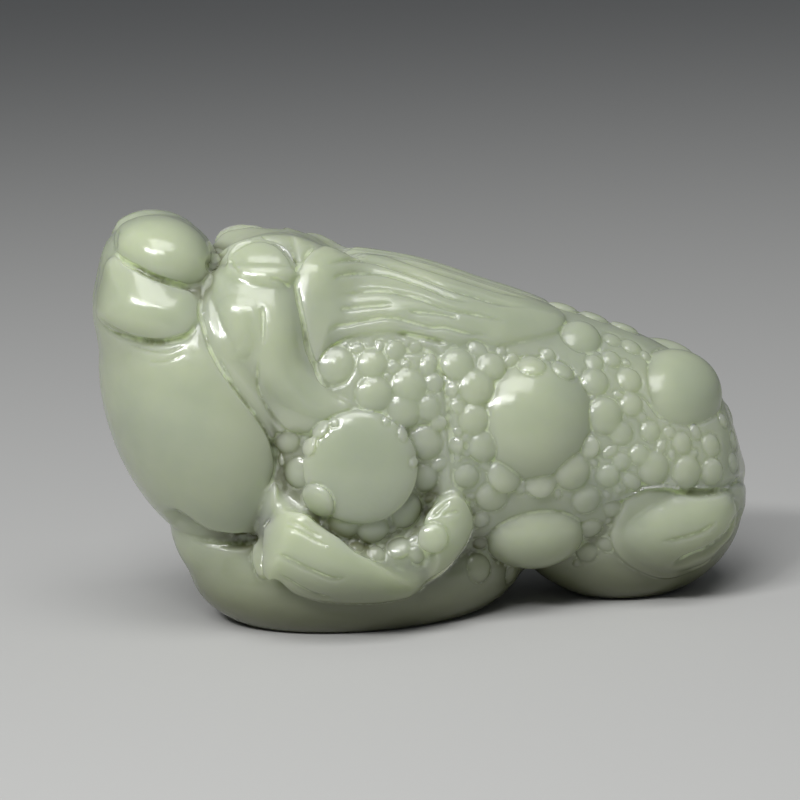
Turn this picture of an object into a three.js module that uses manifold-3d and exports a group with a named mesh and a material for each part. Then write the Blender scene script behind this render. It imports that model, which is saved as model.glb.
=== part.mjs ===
import * as THREE from 'three';
import { mergeVertices } from 'three/addons/utils/BufferGeometryUtils.js';
import Module from 'manifold-3d';

// A hand-sized jade carving of a money toad that crouches with its head raised, cut
// from one pebble. Millimetres. It looks towards -X, its left flank is towards -Y and
// +Z is up. The flanks mirror each other about y = 0, and the smooth chest and tail
// end that it rests on are cut flat on z = 0.

const wasm = await Module();
wasm.setup();

const flanks = [-1, 1];
const degree = Math.PI / 180;

// Trunk: at each station along x an ellipse, given by the height of its top and of
// its bottom and by its half width.
const trunk = {
  x: [-18.5, -13, -7, 0, 7, 14, 20, 24.2, 26.8],
  top: [20, 27.0, 29.0, 28.3, 25.7, 22.9, 20.0, 16.6, 9.5],
  bottom: [17, 5.0, 3.4, 2.8, 2.6, 2.8, 3.2, 4.8, 8.5],
  halfWidth: [1, 8.6, 10.8, 11.6, 11.4, 10.2, 8.4, 6.0, 0.8],
  around: 18,
  along: 12,
};

// Egg-shaped masses: centre, half sizes along x, y and z, lean about y in degrees, and
// the exponent that swells the cross section from an ellipse, 2, towards a rounded box.
const belly = { at: [-6.0, 0, 8.0], size: [14.5, 11.2, 9.2], boxy: 4, around: 18, along: 11 };
const tailEnd = { at: [16.6, 0, 7.4], size: [10.1, 7.8, 8.0], boxy: 2.6, around: 16, along: 8 };
const jaw = { at: [-17.1, 0, 18.4], size: [7.8, 10.2, 11.8], lean: -17, around: 18, along: 12 };
const head = { at: [-11.0, 0, 23.4], size: [6.6, 8.6, 7.4], around: 14, along: 10 };
const brow = { at: [-11.0, 3.0, 28.2], size: [4.8, 3.4, 2.9], lean: 6, around: 12, along: 8 };
const eye = { at: [-12.6, 5.2, 28.6], size: [2.4, 2.0, 1.9], around: 10, along: 6 };
const nostril = { at: [-20.5, 2.9, 29.2], size: [4.5, 3.7, 3.0], lean: 6, around: 12, along: 8 };
const lip = { at: [-21.2, 3.9, 26.0], size: [4.3, 4.2, 3.4], lean: 8, around: 12, along: 8 };
const shoulder = { at: [-4.6, 6.6, 12.6], size: [8.2, 5.6, 9.4], around: 14, along: 8 };
const hindFoot = { at: [18.9, 5.2, 6.5], size: [5.5, 4.4, 3.8], around: 12, along: 7 };

// Swept masses: the points that the middle line passes, the half width and the half
// depth of the section at each point, how far the broad face tilts upwards in degrees,
// and how blunt the ends are.
const cheekLock = {
  path: [
    [-12.4, 7.0, 26.6], [-12.2, 8.6, 24.0], [-11.8, 9.3, 21.0], [-10.6, 9.7, 18.9], [-7.6, 10.0, 18.6],
  ],
  width: [1.9, 2.3, 2.5, 2.4, 1.5],
  depth: [1.4, 1.6, 1.6, 1.6, 1.1],
  tilt: 10,
  blunt: 1.5,
  around: 8,
  along: 10,
};
const mane = {
  path: [[-8.4, 6.6, 24.6], [-4.4, 6.9, 24.6], [0.6, 6.7, 24.0], [6.2, 5.6, 22.9], [11.8, 3.9, 22.0]],
  width: [3.9, 4.7, 4.4, 3.4, 0.8],
  depth: [2.8, 3.2, 2.7, 1.9, 0.7],
  tilt: 48,
  blunt: 1.5,
  around: 12,
  along: 11,
};
const forearm = {
  path: [[3.0, 8.8, 10.2], [0.6, 10.0, 6.6], [-4.6, 10.4, 5.1], [-9.4, 10.2, 6.1], [-14.4, 8.6, 9.0]],
  width: [1.4, 1.9, 1.8, 2.5, 3.4],
  depth: [1.4, 2.2, 2.4, 2.6, 2.2],
  tilt: -10,
  blunt: 4,
  around: 9,
  along: 11,
};

// Cuts along a swept mass: where round its section each runs, in degrees from its
// broad face, between which shares of its length, and how deep.
const maneCuts = { turns: [60, 34, 8, -22], from: 0.14, to: 0.9, depth: 0.36, steps: 5 };
const toeCuts = { turns: [38, -6], from: 0.6, to: 0.97, depth: 0.36, steps: 4 };

// Warts: the place on the flank in x and z, the half sizes along and up the flank, how
// far the dome stands proud, and the pearls around it: their number and radius, how far
// off the dome's edge they sit, and the turn they start at and the arc they fill.
const warts = [
  {
    at: [7.2, 16.7],
    size: [3.8, 3.5],
    proud: 1.9,
    ring: { count: 10, gap: 1.35, pearl: 1.3, turn: 10, arc: 360 },
  },
  {
    at: [6.9, 7.6],
    size: [3.8, 2.7],
    proud: 2.0,
    ring: { count: 3, gap: 1.2, pearl: 1.1, turn: 190, arc: 150 },
  },
  {
    at: [-6.3, 14.4],
    size: [3.6, 3.5],
    proud: 0.9,
    ring: { count: 10, gap: 1.6, pearl: 1.35, turn: 0, arc: 360 },
  },
  {
    at: [19.4, 17.0],
    size: [3.1, 2.8],
    proud: 1.3,
    ring: { count: 5, gap: 1.2, pearl: 1.1, turn: 170, arc: 170 },
  },
];

// Single pearls: the place on the flank in x and z, and the radius.
const loosePearls = [[-9.4, 22.6, 1.5], [-2.2, 21.9, 1.4]];

// The row of flat beads along the ridge of the back.
const spine = { from: 9.0, to: 24.2, count: 6, size: [1.2, 0.95, 0.55] };

function closedSolid(geometry) {
  const bare = geometry.clone();
  bare.deleteAttribute('normal');
  bare.deleteAttribute('uv');
  const merged = mergeVertices(bare, 1e-4);
  return new wasm.Manifold(new wasm.Mesh({
    numProp: 3,
    vertProperties: new Float32Array(merged.attributes.position.array),
    triVerts: new Uint32Array(merged.index.array),
  }));
}

function toGeometry(manifold) {
  const mesh = manifold.getMesh();
  const geometry = new THREE.BufferGeometry();
  geometry.setAttribute('position', new THREE.BufferAttribute(new Float32Array(mesh.vertProperties), 3));
  geometry.setIndex(new THREE.BufferAttribute(new Uint32Array(mesh.triVerts), 1));
  geometry.computeVertexNormals();
  return geometry;
}

// A unit sphere, poles on y, with each vertex moved to where the rule puts it. The rule
// gets the share t of the way from pole to pole, the turn about y and the ring's radius.
function shapedSphere(around, along, rule) {
  const geometry = new THREE.SphereGeometry(1, around, along);
  const position = geometry.attributes.position;
  const vertex = new THREE.Vector3();
  for (let i = 0; i < position.count; i += 1) {
    vertex.fromBufferAttribute(position, i);
    const ring = Math.hypot(vertex.x, vertex.z);
    const isPole = ring < 1e-6;
    rule(vertex, {
      ring: isPole ? 0 : ring,
      turn: isPole ? 0 : Math.atan2(vertex.z, vertex.x),
      t: Math.acos(THREE.MathUtils.clamp(vertex.y, -1, 1)) / Math.PI,
    });
    position.setXYZ(i, vertex.x, vertex.y, vertex.z);
  }
  return closedSolid(geometry);
}

function egg({ at, size, lean = 0, boxy = 2, around, along }, side = 1) {
  const turn = new THREE.Euler(0, lean * degree, 0);
  const half = new THREE.Vector3(...size);
  const centre = new THREE.Vector3(at[0], at[1] * side, at[2]);
  return shapedSphere(around, along, (vertex) => {
    const round = Math.hypot(vertex.y, vertex.z);
    const boxed = (Math.abs(vertex.y) ** boxy + Math.abs(vertex.z) ** boxy) ** (1 / boxy);
    const swell = round > 0 ? round / boxed : 1;
    vertex.set(vertex.x, vertex.y * swell, vertex.z * swell);
    vertex.multiply(half).applyEuler(turn).add(centre);
  });
}

function profile(stations, values) {
  return new THREE.SplineCurve(stations.map((x, i) => new THREE.Vector2(x, values[i])));
}

function trunkSolid() {
  const top = profile(trunk.x, trunk.top);
  const bottom = profile(trunk.x, trunk.bottom);
  const halfWidth = profile(trunk.x, trunk.halfWidth);
  return shapedSphere(trunk.around, trunk.along, (vertex, { ring, turn, t }) => {
    const high = top.getPoint(t);
    const low = bottom.getPoint(t).y;
    const open = ring > 0 ? 1 : 0;
    vertex.set(
      high.x,
      Math.cos(turn) * halfWidth.getPoint(t).y * open,
      (high.y + low) / 2 + Math.sin(turn) * ((high.y - low) / 2) * open,
    );
  });
}

// The surface of a swept mass as a function of the share t of its length, the turn
// around its section and the share of its full width, with its outward direction.
function sweptSurface({ path, width, depth, tilt }, side) {
  const curve = new THREE.CatmullRomCurve3(path.map(([x, y, z]) => new THREE.Vector3(x, y * side, z)));
  const stations = width.map((_, i) => i);
  const widths = profile(stations, width);
  const depths = profile(stations, depth);
  const facing = new THREE.Vector3(0, side * Math.cos(tilt * degree), Math.sin(tilt * degree));
  return (t, turn, share = 1) => {
    const tangent = curve.getTangent(t);
    const rise = new THREE.Vector3().crossVectors(tangent, facing).normalize();
    const out = new THREE.Vector3().crossVectors(rise, tangent).normalize();
    return {
      point: curve.getPoint(t)
        .addScaledVector(rise, Math.sin(turn) * widths.getPoint(t).y * share)
        .addScaledVector(out, Math.cos(turn) * depths.getPoint(t).y * share),
      out,
      rise,
    };
  };
}

function sweptMass(form, side) {
  const surface = sweptSurface(form, side);
  return shapedSphere(form.around, form.along, (vertex, { ring, turn, t }) => {
    vertex.copy(surface(t, turn, Math.min(1, ring * form.blunt)).point);
  });
}

// A thin four-sided needle along the surface of a swept mass, which cuts a V in it.
function cutAlong(form, cuts, turnDegrees, side) {
  const surface = sweptSurface(form, side);
  const corners = 4;
  const taper = 1.6;
  const slimness = 0.7;
  return shapedSphere(corners, cuts.steps, (vertex, { ring, turn, t }) => {
    const along = THREE.MathUtils.lerp(cuts.from, cuts.to, t);
    const { rise, out } = surface(along, 0);
    const { point } = surface(along, turnDegrees * degree * Math.sign(rise.z));
    const size = cuts.depth * Math.min(1, ring * taper);
    vertex.copy(point)
      .addScaledVector(rise, Math.sin(turn) * size * slimness)
      .addScaledVector(out, Math.cos(turn) * size);
  });
}

function unionOf(solids) {
  return solids.reduce((sum, solid) => sum.add(solid));
}

function caster(solid) {
  const mesh = new THREE.Mesh(toGeometry(solid), new THREE.MeshBasicMaterial({ side: THREE.DoubleSide }));
  mesh.updateMatrixWorld();
  const ray = new THREE.Raycaster();
  return (from, direction) => {
    ray.set(from, direction.clone().normalize());
    const hit = ray.intersectObject(mesh)[0];
    return hit && { point: hit.point, normal: hit.face.normal.clone() };
  };
}

// A dome set on the skin: its half sizes along the first axis, along the second and
// outwards, with its middle sunk below the skin.
function dome(spot, along, size, sunk, shape) {
  const up = spot.normal.clone().normalize();
  const second = new THREE.Vector3().crossVectors(up, along).normalize();
  const first = new THREE.Vector3().crossVectors(second, up).normalize();
  const frame = new THREE.Matrix4().makeBasis(
    first.multiplyScalar(size[0]),
    up.clone().multiplyScalar(size[2]),
    second.multiplyScalar(-size[1]),
  );
  const geometry = shape.clone().applyMatrix4(frame);
  const centre = spot.point.clone().addScaledVector(up, -sunk);
  return closedSolid(geometry.translate(centre.x, centre.y, centre.z));
}

const lengthwise = new THREE.Vector3(1, 0, 0);
const wartShape = new THREE.SphereGeometry(1, 11, 6);
const pearlShape = new THREE.SphereGeometry(1, 6, 4);
const pearlHeight = 0.8;
const pearlSink = 0.12;
const spineSink = 0.4;
const farOff = 60;
const probeReach = 1.5;

// The point of the skin seen from beside at x and z. Facet normals jump, so the normal
// is the mean of it and four probes close by.
function flankSpot(cast, x, z, side) {
  const inwards = new THREE.Vector3(0, -side, 0);
  const probe = (dx, dz) => cast(new THREE.Vector3(x + dx, side * farOff, z + dz), inwards);
  const spot = probe(0, 0);
  const normal = spot.normal.clone();
  for (const [dx, dz] of [[probeReach, 0], [-probeReach, 0], [0, probeReach], [0, -probeReach]]) {
    const near = probe(dx, dz);
    if (near) normal.add(near.normal);
  }
  return { point: spot.point, normal: normal.normalize() };
}

function wartAndRing(cast, { at, size, proud, ring }, side) {
  const spot = flankSpot(cast, at[0], at[1], side);
  const domeHeight = proud * 2;
  const solids = [dome(spot, lengthwise, [...size, domeHeight], domeHeight - proud, wartShape)];
  const second = new THREE.Vector3().crossVectors(lengthwise, spot.normal).normalize();
  if (second.z < 0) second.negate();
  const first = lengthwise.clone().addScaledVector(spot.normal, -spot.normal.x).normalize();
  const step = ring.arc / (ring.arc < 360 ? ring.count - 1 : ring.count);
  for (let i = 0; i < ring.count; i += 1) {
    const angle = (ring.turn + step * i) * degree;
    const above = spot.point.clone()
      .addScaledVector(first, Math.cos(angle) * (size[0] + ring.gap))
      .addScaledVector(second, Math.sin(angle) * (size[1] + ring.gap))
      .addScaledVector(spot.normal, domeHeight * 2);
    const seat = cast(above, spot.normal.clone().negate());
    if (seat) solids.push(pearl(seat, ring.pearl));
  }
  return solids;
}

function pearl(seat, radius) {
  return dome(seat, lengthwise, [radius, radius, radius * pearlHeight], radius * pearlSink, pearlShape);
}

function spineRow(cast) {
  const solids = [];
  const besideSeam = 0.01;
  for (let i = 0; i < spine.count; i += 1) {
    const x = THREE.MathUtils.lerp(spine.from, spine.to, i / (spine.count - 1));
    const seat = cast(new THREE.Vector3(x, besideSeam, farOff), new THREE.Vector3(0, 0, -1));
    solids.push(dome(seat, lengthwise, spine.size, spine.size[2] * spineSink, pearlShape));
  }
  return solids;
}

let body = unionOf([trunkSolid(), ...[belly, tailEnd, jaw, head].map((form) => egg(form))]);
for (const side of flanks) {
  const eggs = [brow, eye, nostril, lip, shoulder, hindFoot].map((form) => egg(form, side));
  const sweeps = [cheekLock, mane, forearm].map((form) => sweptMass(form, side));
  body = unionOf([body, ...eggs, ...sweeps]);
}
for (const side of flanks) {
  const cuts = [
    ...maneCuts.turns.map((turn) => cutAlong(mane, maneCuts, turn, side)),
    ...toeCuts.turns.map((turn) => cutAlong(forearm, toeCuts, turn, side)),
  ];
  body = body.subtract(unionOf(cuts));
}

const castOnSkin = caster(body);
const relief = spineRow(castOnSkin);
for (const side of flanks) {
  for (const wart of warts) relief.push(...wartAndRing(castOnSkin, wart, side));
  for (const [x, z, radius] of loosePearls) relief.push(pearl(flankSpot(castOnSkin, x, z, side), radius));
}
body = body.add(unionOf(relief));

const ground = { length: 80, width: 60, depth: 20 };
const groundBlock = new THREE.BoxGeometry(ground.length, ground.width, ground.depth);
body = body.subtract(closedSolid(groundBlock.translate(0, 0, -ground.depth / 2)));

const jade = new THREE.MeshStandardMaterial({ color: 0x9aa588, roughness: 0.18, metalness: 0 });
const toad = new THREE.Mesh(toGeometry(body), jade);
toad.name = 'toad';

// The origin goes under the middle of the carving's length, at the height it rests on.
toad.geometry.computeBoundingBox();
const reach = toad.geometry.boundingBox;
toad.geometry.translate(-(reach.min.x + reach.max.x) / 2, 0, -reach.min.z);

const figure = new THREE.Group();
figure.add(toad);

export default figure;
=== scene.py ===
import math
import bpy
import numpy as np
import openvdb as vdb
from mathutils import Matrix, Vector


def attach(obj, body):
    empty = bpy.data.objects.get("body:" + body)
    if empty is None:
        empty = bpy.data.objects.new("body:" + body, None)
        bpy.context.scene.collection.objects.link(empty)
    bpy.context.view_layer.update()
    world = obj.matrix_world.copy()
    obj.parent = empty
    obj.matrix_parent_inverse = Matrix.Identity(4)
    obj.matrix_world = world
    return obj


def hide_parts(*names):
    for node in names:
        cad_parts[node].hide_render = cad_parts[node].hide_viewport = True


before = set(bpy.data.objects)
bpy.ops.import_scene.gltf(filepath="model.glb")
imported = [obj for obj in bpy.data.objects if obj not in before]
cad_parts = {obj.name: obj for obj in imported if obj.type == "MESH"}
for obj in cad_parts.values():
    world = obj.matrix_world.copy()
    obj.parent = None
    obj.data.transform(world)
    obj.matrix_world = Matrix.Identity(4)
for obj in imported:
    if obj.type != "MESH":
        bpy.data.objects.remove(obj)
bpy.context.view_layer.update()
scene = bpy.context.scene
mm = 0.001
middleX = 0.67  # the carving is drawn in mm with its middle at this x


def unit(vectors):
    return vectors / np.maximum(np.linalg.norm(vectors, axis=-1, keepdims=True), 1e-9)


def ease(values, low, high):
    t = np.clip((values - low) / (high - low), 0, 1)
    return t * t * (3 - 2 * t)


# Camera: a long lens, a little above the flank and a little towards the head
cameraSetup = {
    "azimuth": -8.0,
    "elevation": 10.5,
    "roll": 2.5,
    "distance": 240.0,
    "target": (-1.5, 0.0, 16.7),
    "lens": 135.0,
    "sensor": 36.0,
    "picture": 800,
}


def cameraAxes(azimuth, elevation, roll=0):
    az, el, tip = math.radians(azimuth), math.radians(elevation), math.radians(roll)
    back = np.array((math.sin(az) * math.cos(el), -math.cos(az) * math.cos(el), math.sin(el)))
    right = np.array((math.cos(az), math.sin(az), 0))
    up = np.cross(back, right)
    return right * math.cos(tip) - up * math.sin(tip), up * math.cos(tip) + right * math.sin(tip), back


right, up, back = cameraAxes(cameraSetup["azimuth"], cameraSetup["elevation"], cameraSetup["roll"])
eyePoint = np.array(cameraSetup["target"]) + back * cameraSetup["distance"]
pictureMiddle = cameraSetup["picture"] / 2
focal = cameraSetup["lens"] / cameraSetup["sensor"] * cameraSetup["picture"]
toWorld = np.array((middleX, 0, 0))

cameraData = bpy.data.cameras.new("camera")
cameraData.lens = cameraSetup["lens"]
cameraData.sensor_width = cameraSetup["sensor"]
cameraData.clip_start = 0.01
camera = bpy.data.objects.new("camera", cameraData)
turn = Matrix((Vector(right), Vector(up), Vector(back))).transposed().to_4x4()
camera.matrix_world = Matrix.Translation(Vector((eyePoint - toWorld) * mm)) @ turn
scene.collection.objects.link(camera)
scene.camera = camera


# Light: one long softbox ahead of the flank, a weak broad fill, and a pale room
lights = {
    "key": {"azimuth": -46, "elevation": 40, "distance": 0.40, "size": (0.15, 0.045), "power": 0.85},
    "side": {"azimuth": -22, "elevation": 44, "distance": 0.42, "size": (0.16, 0.08), "power": 0.4},
    "fill": {"azimuth": -8, "elevation": 66, "distance": 0.6, "size": (0.45, 0.30), "power": 1.9},
}
roomLight = {"color": (0.86, 0.9, 0.95), "strength": 0.14}
floorSetup = {"size": 8.0, "color": (0.46, 0.46, 0.45)}


def placeLight(name, setup):
    away = Vector(cameraAxes(setup["azimuth"], setup["elevation"])[2])
    data = bpy.data.lights.new(name, "AREA")
    data.shape = "RECTANGLE"
    data.size, data.size_y = setup["size"]
    data.energy = setup["power"]
    light = bpy.data.objects.new(name, data)
    light.location = Vector((np.array(cameraSetup["target"]) - toWorld) * mm) + away * setup["distance"]
    light.rotation_euler = away.to_track_quat("Z", "Y").to_euler()
    scene.collection.objects.link(light)


for name, setup in lights.items():
    placeLight(name, setup)

world = bpy.data.worlds.new("room")
world.use_nodes = True
world.node_tree.nodes["Background"].inputs["Color"].default_value = (*roomLight["color"], 1)
world.node_tree.nodes["Background"].inputs["Strength"].default_value = roomLight["strength"]
scene.world = world
scene.view_settings.view_transform = "Standard"

floorMesh = bpy.data.meshes.new("floor")
half = floorSetup["size"] / 2
floorMesh.from_pydata([(-half, -half, 0), (half, -half, 0), (half, half, 0), (-half, half, 0)], [], [(0, 1, 2, 3)])
floor = bpy.data.objects.new("floor", floorMesh)
scene.collection.objects.link(floor)
floorPaint = bpy.data.materials.new("pale_floor")
floorPaint.use_nodes = True
floorPaint.node_tree.nodes["Principled BSDF"].inputs["Base Color"].default_value = (*floorSetup["color"], 1)
floorPaint.node_tree.nodes["Principled BSDF"].inputs["Roughness"].default_value = 0.8
floorMesh.materials.append(floorPaint)
print("camera, lights and floor placed")


# The stone is worked as a grid of distances to its skin, in mm, negative inside
stone = {
    "voxel": 0.12,
    "low": (-26.9, -14.0, -1.2),
    "high": (28.2, 14.0, 34.0),
    "band": 1.8,        # distances are kept this far from the skin
    "triangles": 195000,
}
voxel = stone["voxel"]
band = stone["band"]
gridLow = np.floor(np.array(stone["low"]) / voxel).astype(int)
gridHigh = np.ceil(np.array(stone["high"]) / voxel).astype(int)
gridLow[1] = -gridHigh[1]
gridSize = gridHigh - gridLow + 1
body = np.full(gridSize, band, np.float32)
middleRow = gridSize[1] // 2


def sample(values, points):
    # the grid's value between its voxels
    place = points / voxel - gridLow
    i = np.clip(np.floor(place).astype(int), 0, gridSize - 2)
    u = np.clip(place - i, 0, 1).astype(np.float32)
    total = 0
    for corner in np.ndindex(2, 2, 2):
        weight = np.prod(np.where(corner, u, 1 - u), axis=1)
        total = total + weight * values[i[:, 0] + corner[0], i[:, 1] + corner[1], i[:, 2] + corner[2]]
    return total


def slope(values, points, step=None):
    step = step or voxel
    shifts = np.eye(3) * step
    return np.stack([sample(values, points + s) - sample(values, points - s) for s in shifts], 1) / (2 * step)


# Places are read in the camera's own picture, 800 by 800, and land on the skin that it sees
def sightLines(places):
    places = np.asarray(places, float)
    across, rise = places[:, 0:1] - pictureMiddle, pictureMiddle - places[:, 1:2]
    return unit(right * across + up * rise - back * focal)


def seen(places):
    lines = sightLines(places)
    points = eyePoint + lines * (cameraSetup["distance"] - 32)
    for _ in range(70):
        points = points + lines * np.clip(sample(body, points), -0.5, band)[:, None] * 0.9
    return points


def shownAt(points):
    away = points - eyePoint
    depth = -(away @ back)
    across = pictureMiddle + (away @ right) * focal / depth
    return across, pictureMiddle - (away @ up) * focal / depth


perMm = focal / cameraSetup["distance"]  # picture steps in one mm at the carving


# Shapes are points and faces in mm
def spherePoints(around, along):
    turn = np.linspace(0, 2 * np.pi, around, endpoint=False)
    fall = np.linspace(0, np.pi, along + 1)[1:-1]
    turn, fall = (a.ravel() for a in np.meshgrid(turn, fall))
    ring = np.stack([np.cos(turn) * np.sin(fall), np.cos(fall), np.sin(turn) * np.sin(fall)], 1)
    points = np.concatenate([[[0, 1, 0]], ring, [[0, -1, 0]]])
    rows = np.arange((along - 1) * around).reshape(along - 1, around) + 1
    over = np.roll(rows, -1, 1)
    quads = np.stack([rows[:-1], over[:-1], over[1:], rows[1:]], -1).reshape(-1, 4)
    last = len(points) - 1
    top = np.stack([np.zeros(around, int), over[0], rows[0]], -1)
    bottom = np.stack([np.full(around, last), rows[-1], over[-1]], -1)
    return points, quads, np.concatenate([top, bottom])


def turned(points, lean=0, yaw=0, tip=0):
    for angle, (a, b) in ((tip, (1, 2)), (lean, (2, 0)), (yaw, (0, 1))):
        c, s = math.cos(math.radians(angle)), math.sin(math.radians(angle))
        first, second = points[:, a] * c - points[:, b] * s, points[:, a] * s + points[:, b] * c
        points = points.copy()
        points[:, a], points[:, b] = first, second
    return points


def egg(at, size, lean=0, yaw=0, tip=0, boxy=2.0):
    points, quads, tris = spherePoints(96, 64)
    across = np.hypot(points[:, 1], points[:, 2])
    boxed = (np.abs(points[:, 1]) ** boxy + np.abs(points[:, 2]) ** boxy) ** (1 / boxy)
    points[:, 1:] *= np.where(boxed > 0, across / np.maximum(boxed, 1e-9), 1)[:, None]
    return turned(points * size, lean, yaw, tip) + at, quads, tris


def curveThrough(values, t):
    # a smooth curve through rows of values, t from 0 to 1
    values = np.asarray(values, float)
    ends = np.concatenate([[2 * values[0] - values[1]], values, [2 * values[-1] - values[-2]]])
    place = np.clip(t, 0, 1) * (len(values) - 1)
    i = np.minimum(place.astype(int), len(values) - 2)
    u = (place - i).reshape(-1, *([1] * (values.ndim - 1)))
    a, b, c, d = (ends[i + k] for k in range(4))
    return 0.5 * (2 * b + (c - a) * u + (2 * a - 5 * b + 4 * c - d) * u ** 2 + (3 * b - a - 3 * c + d) * u ** 3)


def sweep(form):
    # an ellipse section carried along a path; tilt turns its broad face up from level
    points, quads, tris = spherePoints(64, 96)
    ring = np.hypot(points[:, 0], points[:, 2])
    turn = np.where(ring > 1e-6, np.arctan2(points[:, 2], points[:, 0]), 0)
    t = np.arccos(np.clip(points[:, 1], -1, 1)) / np.pi
    share = np.where(ring > 1e-6, np.minimum(1, (ring * form["blunt"]) ** 0.8), 0)
    path = form["path"]
    middle = curveThrough(path, t)
    tangent = unit(curveThrough(path, np.minimum(t + 0.01, 1)) - curveThrough(path, np.maximum(t - 0.01, 0)))
    tilt = np.radians(curveThrough(np.resize(form["tilt"], len(path)), t))
    facing = np.stack([np.zeros_like(t), -np.cos(tilt), np.sin(tilt)], 1)
    rise = unit(np.cross(facing, tangent))
    rise *= np.sign(rise[:, 2:3] + 1e-9)
    out = unit(np.cross(tangent, rise))
    out *= np.sign(np.sum(out * facing, 1, keepdims=True))
    width = curveThrough(form["width"], t) * share
    depth = curveThrough(form["depth"], t) * share
    return middle + rise * (np.sin(turn) * width)[:, None] + out * (np.cos(turn) * depth)[:, None], quads, tris


def mound(at, size, proud, spin=0, sink=0.3, face=0.0):
    # a dome on the skin, its place and half sizes read in the picture; proud is in mm
    middle = seen([at])[0]
    out = unit(unit(slope(body, middle[None], 0.6))[0] + back * face)
    c, s = math.cos(math.radians(spin)), math.sin(math.radians(spin))
    axes = []
    for axis, length in ((right * c + up * s, size[0]), (up * c - right * s, size[1])):
        lift = np.clip(-(axis @ out) / max(out @ back, 0.2), -1.2, 1.2)
        axes.append((axis + back * lift) * length / perMm / math.sqrt(1 - sink ** 2))
    axes.append(out * proud / (1 - sink))
    points, quads, tris = spherePoints(96, 64)
    points = points[:, (0, 2, 1)] @ np.array(axes)
    return points + middle - out * proud * sink / (1 - sink), quads, tris


def nearSide(shape):
    return shape[0] * (1, -1, 1), shape[1], shape[2]


# Adding and taking away on the grid
def fieldOf(shape, reach=band):
    points, quads, tris = shape
    grid = vdb.FloatGrid.createLevelSetFromPolygons(
        points.astype(np.float32),
        triangles=tris.astype(np.uint32),
        quads=quads.astype(np.uint32),
        transform=vdb.createLinearTransform(voxelSize=voxel),
        halfWidth=reach / voxel,
    )
    low, high = grid.evalActiveVoxelBoundingBox()
    low, high = np.maximum(low, gridLow), np.minimum(high, gridHigh)
    values = np.empty(high - low + 1, np.float32)
    grid.copyToArray(values, ijk=tuple(int(v) for v in low))
    return low - gridLow, values


def bothSides(start, values, both):
    mirror = start.copy()
    mirror[1] = gridSize[1] - start[1] - values.shape[1]
    sides = [(start, values), (mirror, values[:, ::-1])] if both else [(start, values)]
    return [(tuple(slice(s, s + n) for s, n in zip(low, part.shape)), part) for low, part in sides]


def add(shape, melt, both=False):
    # joins a shape to the stone with a fillet of about the melt, in mm
    for block, part in bothSides(*fieldOf(shape), both):
        here = body[block]
        share = np.clip(0.5 + (here - part) / (2 * melt), 0, 1)
        soft = here + (part - here) * share - melt * share * (1 - share)
        near = (np.abs(here) < band * 0.98) & (np.abs(part) < band * 0.98)
        body[block] = np.where(near, soft, np.minimum(here, part))


def trench(shape, width, depth, both=False):
    # lowers the skin round where a shape will stand
    for block, part in bothSides(*fieldOf(shape, max(width * 1.3, 3 * voxel)), both):
        body[block] += depth * np.clip(1 - np.maximum(part, 0) / width, 0, 1) ** 1.5


def renewed(values):
    # true distances again, after the skin has been moved
    field = vdb.FloatGrid(band)
    field.copyFromArray(np.ascontiguousarray(values), ijk=tuple(int(v) for v in gridLow))
    field.transform = vdb.createLinearTransform(voxelSize=voxel)
    points, quads = field.convertToQuads(0.0)
    grid = vdb.FloatGrid.createLevelSetFromPolygons(
        points, quads=quads, transform=field.transform, halfWidth=band / voxel)
    fresh = np.empty(tuple(gridSize), np.float32)
    grid.copyToArray(fresh, ijk=tuple(int(v) for v in gridLow))
    return fresh


def flattenBelow(height, melt):
    ground = (height - (np.arange(gridSize[2]) + gridLow[2]) * voxel).astype(np.float32)[None, None, :]
    share = np.clip(0.5 - (body - ground) / (2 * melt), 0, 1)
    body[:] = body + (ground - body) * share + melt * share * (1 - share)


# Trunk: an ellipse at each station, from its top, bottom and half width
trunk = {
    "x": (-18.5, -13, -7, 0, 7, 14, 20, 24.2, 26.6),
    "top": (20, 27.0, 28.5, 27.5, 25.0, 22.6, 19.8, 16.2, 9.6),
    "bottom": (17, 5.0, 3.4, 2.8, 2.6, 2.8, 3.2, 4.8, 8.5),
    "halfWidth": (1, 8.6, 10.4, 10.7, 10.5, 9.4, 7.9, 5.6, 0.8),
}


def trunkShape(form):
    points, quads, tris = spherePoints(96, 128)
    ring = np.hypot(points[:, 0], points[:, 2])
    turn = np.where(ring > 1e-6, np.arctan2(points[:, 2], points[:, 0]), 0)
    t = np.arccos(np.clip(points[:, 1], -1, 1)) / np.pi
    x, high, low, wide = (curveThrough(form[name], t) for name in ("x", "top", "bottom", "halfWidth"))
    opened = ring > 1e-6
    y = np.cos(turn) * wide * opened
    z = (high + low) / 2 + np.sin(turn) * (high - low) / 2 * opened
    return np.stack([x, y, z], 1), quads, tris


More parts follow.
